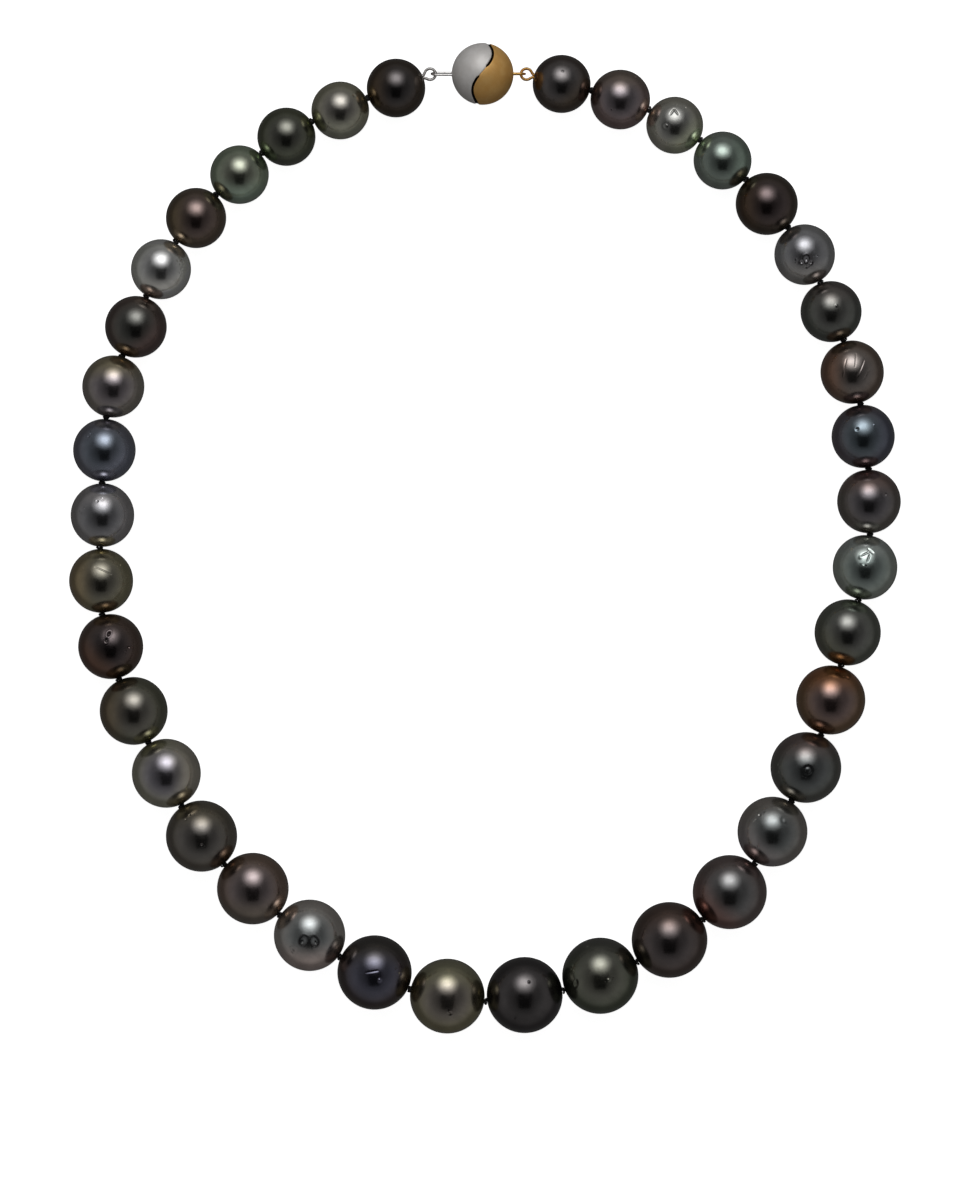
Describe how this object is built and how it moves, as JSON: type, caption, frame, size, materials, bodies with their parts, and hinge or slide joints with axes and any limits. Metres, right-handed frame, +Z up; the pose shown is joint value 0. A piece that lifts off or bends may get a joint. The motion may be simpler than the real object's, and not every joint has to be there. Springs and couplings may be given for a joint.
{
  "type": "pearl necklace",
  "caption": "Knotted strand of graduated dark pearls closed by a two-tone ball clasp with an S-shaped parting.",
  "frame": {"origin": "on the table, under the middle of the fastened necklace", "axes": "+Z up from the table; +Y towards the clasp, along the longer way of the oval; +X towards the gold half of the clasp"},
  "size_m": [0.1346, 0.1602, 0.0121],
  "materials": {
    "pearl_aubergine": "gloss",
    "pearl_rosewood": "gloss",
    "pearl_mauve": "gloss",
    "pearl_rose_grey": "gloss",
    "pearl_cocoa": "gloss",
    "pearl_copper": "gloss",
    "pearl_charcoal": "gloss",
    "pearl_blue_black": "gloss",
    "pearl_steel": "gloss",
    "pearl_slate": "gloss",
    "pearl_silver": "gloss",
    "pearl_silver_green": "gloss",
    "pearl_pale_olive": "gloss",
    "pearl_olive": "gloss",
    "pearl_moss": "gloss",
    "pearl_peacock": "gloss",
    "white_gold": "satin",
    "yellow_gold": "satin",
    "spring_steel": "satin",
    "silk": "matte"
  },
  "bodies": {
    "bead_19": {"pearl_19": "pearl_olive", "silk_strand": "silk"},
    "bead_18": {"pearl_18": "pearl_blue_black"},
    "bead_17": {"pearl_17": "pearl_silver"},
    "bead_16": {"pearl_16": "pearl_rosewood"},
    "bead_15": {"pearl_15": "pearl_cocoa"},
    "bead_14": {"pearl_14": "pearl_silver_green"},
    "bead_13": {"pearl_13": "pearl_moss"},
    "bead_12": {"pearl_12": "pearl_copper"},
    "bead_11": {"pearl_11": "pearl_olive"},
    "bead_10": {"pearl_10": "pearl_steel"},
    "bead_09": {"pearl_09": "pearl_blue_black"},
    "bead_08": {"pearl_08": "pearl_rose_grey"},
    "bead_07": {"pearl_07": "pearl_slate"},
    "bead_06": {"pearl_06": "pearl_silver"},
    "bead_05": {"pearl_05": "pearl_aubergine"},
    "bead_04": {"pearl_04": "pearl_silver_green"},
    "bead_03": {"pearl_03": "pearl_moss"},
    "bead_02": {"pearl_02": "pearl_pale_olive"},
    "bead_01": {"pearl_01": "pearl_aubergine", "silver_wound_loop": "white_gold"},
    "silver_half": {"silver_shell": "white_gold", "silver_face": "white_gold", "silver_eyelet": "white_gold", "catch_spring": "spring_steel"},
    "bead_20": {"pearl_20": "pearl_aubergine"},
    "bead_21": {"pearl_21": "pearl_peacock"},
    "bead_22": {"pearl_22": "pearl_cocoa"},
    "bead_23": {"pearl_23": "pearl_mauve"},
    "bead_24": {"pearl_24": "pearl_slate"},
    "bead_25": {"pearl_25": "pearl_moss"},
    "bead_26": {"pearl_26": "pearl_copper"},
    "bead_27": {"pearl_27": "pearl_peacock"},
    "bead_28": {"pearl_28": "pearl_silver_green"},
    "bead_29": {"pearl_29": "pearl_aubergine"},
    "bead_30": {"pearl_30": "pearl_blue_black"},
    "bead_31": {"pearl_31": "pearl_cocoa"},
    "bead_32": {"pearl_32": "pearl_peacock"},
    "bead_33": {"pearl_33": "pearl_steel"},
    "bead_34": {"pearl_34": "pearl_aubergine"},
    "bead_35": {"pearl_35": "pearl_slate"},
    "bead_36": {"pearl_36": "pearl_pale_olive"},
    "bead_37": {"pearl_37": "pearl_mauve"},
    "bead_38": {"pearl_38": "pearl_charcoal"},
    "gold_loop": {"gold_wound_loop": "yellow_gold"},
    "gold_half": {"gold_shell": "yellow_gold", "gold_face": "yellow_gold", "gold_eyelet": "yellow_gold", "catch_pin": "yellow_gold"}
  },
  "joints": [
    {"name": "strand_opens", "type": "hinge", "parent": "bead_19", "child": "bead_20", "pos_m": [0.00011, -0.07484, 0.00607], "axis": [0, 0, -1], "range_deg": [0, 30], "deforming": ["silk_strand", "catch_spring"]},
    {"name": "flex_18", "type": "hinge", "parent": "bead_19", "child": "bead_18", "pos_m": [-0.01221, -0.07292, 0.00602], "axis": [1, -0.004, 0.005], "range_deg": [-20, 20]},
    {"name": "flex_21", "type": "hinge", "parent": "bead_20", "child": "bead_21", "pos_m": [0.01269, -0.07302, 0.00614], "axis": [1, -0.004, 0.005], "range_deg": [-20, 20]},
    {"name": "flex_17", "type": "hinge", "parent": "bead_18", "child": "bead_17", "pos_m": [-0.02347, -0.06768, 0.00586], "axis": [-0.9999, 0.016, -0.0057], "range_deg": [-20, 20]},
    {"name": "flex_22", "type": "hinge", "parent": "bead_21", "child": "bead_22", "pos_m": [0.02454, -0.06845, 0.00614], "axis": [-0.9999, 0.016, -0.0057], "range_deg": [-20, 20]},
    {"name": "flex_16", "type": "hinge", "parent": "bead_17", "child": "bead_16", "pos_m": [-0.03319, -0.0608, 0.00574], "axis": [0.9999, -0.0121, 0.0049], "range_deg": [-20, 20]},
    {"name": "flex_23", "type": "hinge", "parent": "bead_22", "child": "bead_23", "pos_m": [0.03521, -0.06163, 0.00607], "axis": [0.9999, -0.0121, 0.0049], "range_deg": [-20, 20]},
    {"name": "flex_15", "type": "hinge", "parent": "bead_16", "child": "bead_15", "pos_m": [-0.04209, -0.05281, 0.00578], "axis": [-1, -0.0021, 0], "range_deg": [-20, 20]},
    {"name": "flex_24", "type": "hinge", "parent": "bead_23", "child": "bead_24", "pos_m": [0.04362, -0.05263, 0.00578], "axis": [-1, -0.0021, 0], "range_deg": [-20, 20]},
    {"name": "flex_14", "type": "hinge", "parent": "bead_15", "child": "bead_14", "pos_m": [-0.04908, -0.04329, 0.00565], "axis": [1, 0.0078, 0], "range_deg": [-20, 20]},
    {"name": "flex_25", "type": "hinge", "parent": "bead_24", "child": "bead_25", "pos_m": [0.04951, -0.04252, 0.00564], "axis": [1, 0.0078, 0], "range_deg": [-20, 20]},
    {"name": "flex_13", "type": "hinge", "parent": "bead_14", "child": "bead_13", "pos_m": [-0.0544, -0.03309, 0.00552], "axis": [-0.9999, -0.0126, -0.0014], "range_deg": [-20, 20]},
    {"name": "flex_26", "type": "hinge", "parent": "bead_25", "child": "bead_26", "pos_m": [0.05424, -0.03172, 0.00567], "axis": [-0.9999, -0.0126, -0.0014], "range_deg": [-20, 20]},
    {"name": "flex_12", "type": "hinge", "parent": "bead_13", "child": "bead_12", "pos_m": [-0.05915, -0.02281, 0.00535], "axis": [0.9998, 0.0183, 0.0009], "range_deg": [-20, 20]},
    {"name": "flex_27", "type": "hinge", "parent": "bead_26", "child": "bead_27", "pos_m": [0.05745, -0.02067, 0.00545], "axis": [0.9998, 0.0183, 0.0009], "range_deg": [-20, 20]},
    {"name": "flex_11", "type": "hinge", "parent": "bead_12", "child": "bead_11", "pos_m": [-0.06181, -0.01228, 0.00517], "axis": [-0.9998, -0.0186, -0.0007], "range_deg": [-20, 20]},
    {"name": "flex_28", "type": "hinge", "parent": "bead_27", "child": "bead_28", "pos_m": [0.06033, -0.01001, 0.00525], "axis": [-0.9998, -0.0186, -0.0007], "range_deg": [-20, 20]},
    {"name": "flex_10", "type": "hinge", "parent": "bead_11", "child": "bead_10", "pos_m": [-0.06223, -0.0016, 0.00513], "axis": [0.9998, 0.0175, 0.0001], "range_deg": [-20, 20]},
    {"name": "flex_29", "type": "hinge", "parent": "bead_28", "child": "bead_29", "pos_m": [0.06227, 0.00058, 0.00515], "axis": [0.9998, 0.0175, 0.0001], "range_deg": [-20, 20]},
    {"name": "flex_09", "type": "hinge", "parent": "bead_10", "child": "bead_09", "pos_m": [-0.06189, 0.00901, 0.00508], "axis": [-0.9998, -0.0177, -0.0001], "range_deg": [-20, 20]},
    {"name": "flex_30", "type": "hinge", "parent": "bead_29", "child": "bead_30", "pos_m": [0.06196, 0.0112, 0.00509], "axis": [-0.9998, -0.0177, -0.0001], "range_deg": [-20, 20]},
    {"name": "flex_08", "type": "hinge", "parent": "bead_09", "child": "bead_08", "pos_m": [-0.06128, 0.01945, 0.00501], "axis": [0.9998, 0.0183, 0.0008], "range_deg": [-20, 20]},
    {"name": "flex_31", "type": "hinge", "parent": "bead_30", "child": "bead_31", "pos_m": [0.06061, 0.02168, 0.00511], "axis": [0.9998, 0.0183, 0.0008], "range_deg": [-20, 20]},
    {"name": "flex_07", "type": "hinge", "parent": "bead_08", "child": "bead_07", "pos_m": [-0.05864, 0.02947, 0.005], "axis": [-0.9998, -0.021, -0.0002], "range_deg": [-20, 20]},
    {"name": "flex_32", "type": "hinge", "parent": "bead_31", "child": "bead_32", "pos_m": [0.058, 0.03192, 0.00502], "axis": [-0.9998, -0.021, -0.0002], "range_deg": [-20, 20]},
    {"name": "flex_06", "type": "hinge", "parent": "bead_07", "child": "bead_06", "pos_m": [-0.0547, 0.03902, 0.0049], "axis": [0.9998, 0.0221, -0.0003], "range_deg": [-20, 20]},
    {"name": "flex_33", "type": "hinge", "parent": "bead_32", "child": "bead_33", "pos_m": [0.05422, 0.04143, 0.00487], "axis": [0.9998, 0.0221, -0.0003], "range_deg": [-20, 20]},
    {"name": "flex_05", "type": "hinge", "parent": "bead_06", "child": "bead_05", "pos_m": [-0.04998, 0.0479, 0.00484], "axis": [-0.9997, -0.023, -0.0014], "range_deg": [-20, 20]},
    {"name": "flex_34", "type": "hinge", "parent": "bead_33", "child": "bead_34", "pos_m": [0.04906, 0.05017, 0.00498], "axis": [-0.9997, -0.023, -0.0014], "range_deg": [-20, 20]},
    {"name": "flex_04", "type": "hinge", "parent": "bead_05", "child": "bead_04", "pos_m": [-0.04346, 0.0556, 0.00479], "axis": [0.9996, 0.0275, 0.0008], "range_deg": [-20, 20]},
    {"name": "flex_35", "type": "hinge", "parent": "bead_34", "child": "bead_35", "pos_m": [0.04216, 0.05796, 0.00486], "axis": [0.9996, 0.0275, 0.0008], "range_deg": [-20, 20]},
    {"name": "flex_03", "type": "hinge", "parent": "bead_04", "child": "bead_03", "pos_m": [-0.03617, 0.06221, 0.00469], "axis": [-0.9996, -0.0297, 0.0018], "range_deg": [-20, 20]},
    {"name": "flex_36", "type": "hinge", "parent": "bead_35", "child": "bead_36", "pos_m": [0.0348, 0.06432, 0.00456], "axis": [-0.9996, -0.0297, 0.0018], "range_deg": [-20, 20]},
    {"name": "flex_02", "type": "hinge", "parent": "bead_03", "child": "bead_02", "pos_m": [-0.02794, 0.0674, 0.00466], "axis": [0.9994, 0.0338, 0.0008], "range_deg": [-20, 20]},
    {"name": "flex_37", "type": "hinge", "parent": "bead_36", "child": "bead_37", "pos_m": [0.0266, 0.06925, 0.0047], "axis": [0.9994, 0.0338, 0.0008], "range_deg": [-20, 20]},
    {"name": "flex_01", "type": "hinge", "parent": "bead_02", "child": "bead_01", "pos_m": [-0.01897, 0.07109, 0.00459], "axis": [-0.9993, -0.0376, -0.001], "range_deg": [-20, 20]},
    {"name": "flex_38", "type": "hinge", "parent": "bead_37", "child": "bead_38", "pos_m": [0.01715, 0.07245, 0.00463], "axis": [-0.9993, -0.0376, -0.001], "range_deg": [-20, 20]},
    {"name": "clasp_turns", "type": "hinge", "parent": "bead_01", "child": "silver_half", "pos_m": [-0.00888, 0.07505, 0.00497], "axis": [1, 0, 0], "range_deg": [-15, 15]},
    {"name": "gold_loop_turns", "type": "hinge", "parent": "bead_38", "child": "gold_loop", "pos_m": [0.00672, 0.07505, 0.00497], "axis": [1, 0, 0], "range_deg": [-15, 15]},
    {"name": "gold_half_swings", "type": "hinge", "parent": "gold_loop", "child": "gold_half", "pos_m": [0.00672, 0.07505, 0.00497], "axis": [0, 0, -1], "range_deg": [-30, 0]}
  ],
  "couplings": [
    {"joint": "flex_21", "follows": "flex_18", "ratio": 1},
    {"joint": "flex_22", "follows": "flex_17", "ratio": 1},
    {"joint": "flex_23", "follows": "flex_16", "ratio": 1},
    {"joint": "flex_24", "follows": "flex_15", "ratio": 1},
    {"joint": "flex_25", "follows": "flex_14", "ratio": 1},
    {"joint": "flex_26", "follows": "flex_13", "ratio": 1},
    {"joint": "flex_27", "follows": "flex_12", "ratio": 1},
    {"joint": "flex_28", "follows": "flex_11", "ratio": 1},
    {"joint": "flex_29", "follows": "flex_10", "ratio": 1},
    {"joint": "flex_30", "follows": "flex_09", "ratio": 1},
    {"joint": "flex_31", "follows": "flex_08", "ratio": 1},
    {"joint": "flex_32", "follows": "flex_07", "ratio": 1},
    {"joint": "flex_33", "follows": "flex_06", "ratio": 1},
    {"joint": "flex_34", "follows": "flex_05", "ratio": 1},
    {"joint": "flex_35", "follows": "flex_04", "ratio": 1},
    {"joint": "flex_36", "follows": "flex_03", "ratio": 1},
    {"joint": "flex_37", "follows": "flex_02", "ratio": 1},
    {"joint": "flex_38", "follows": "flex_01", "ratio": 1},
    {"joint": "gold_loop_turns", "follows": "clasp_turns", "ratio": 1},
    {"joint": "gold_half_swings", "follows": "strand_opens", "ratio": -1}
  ]
}
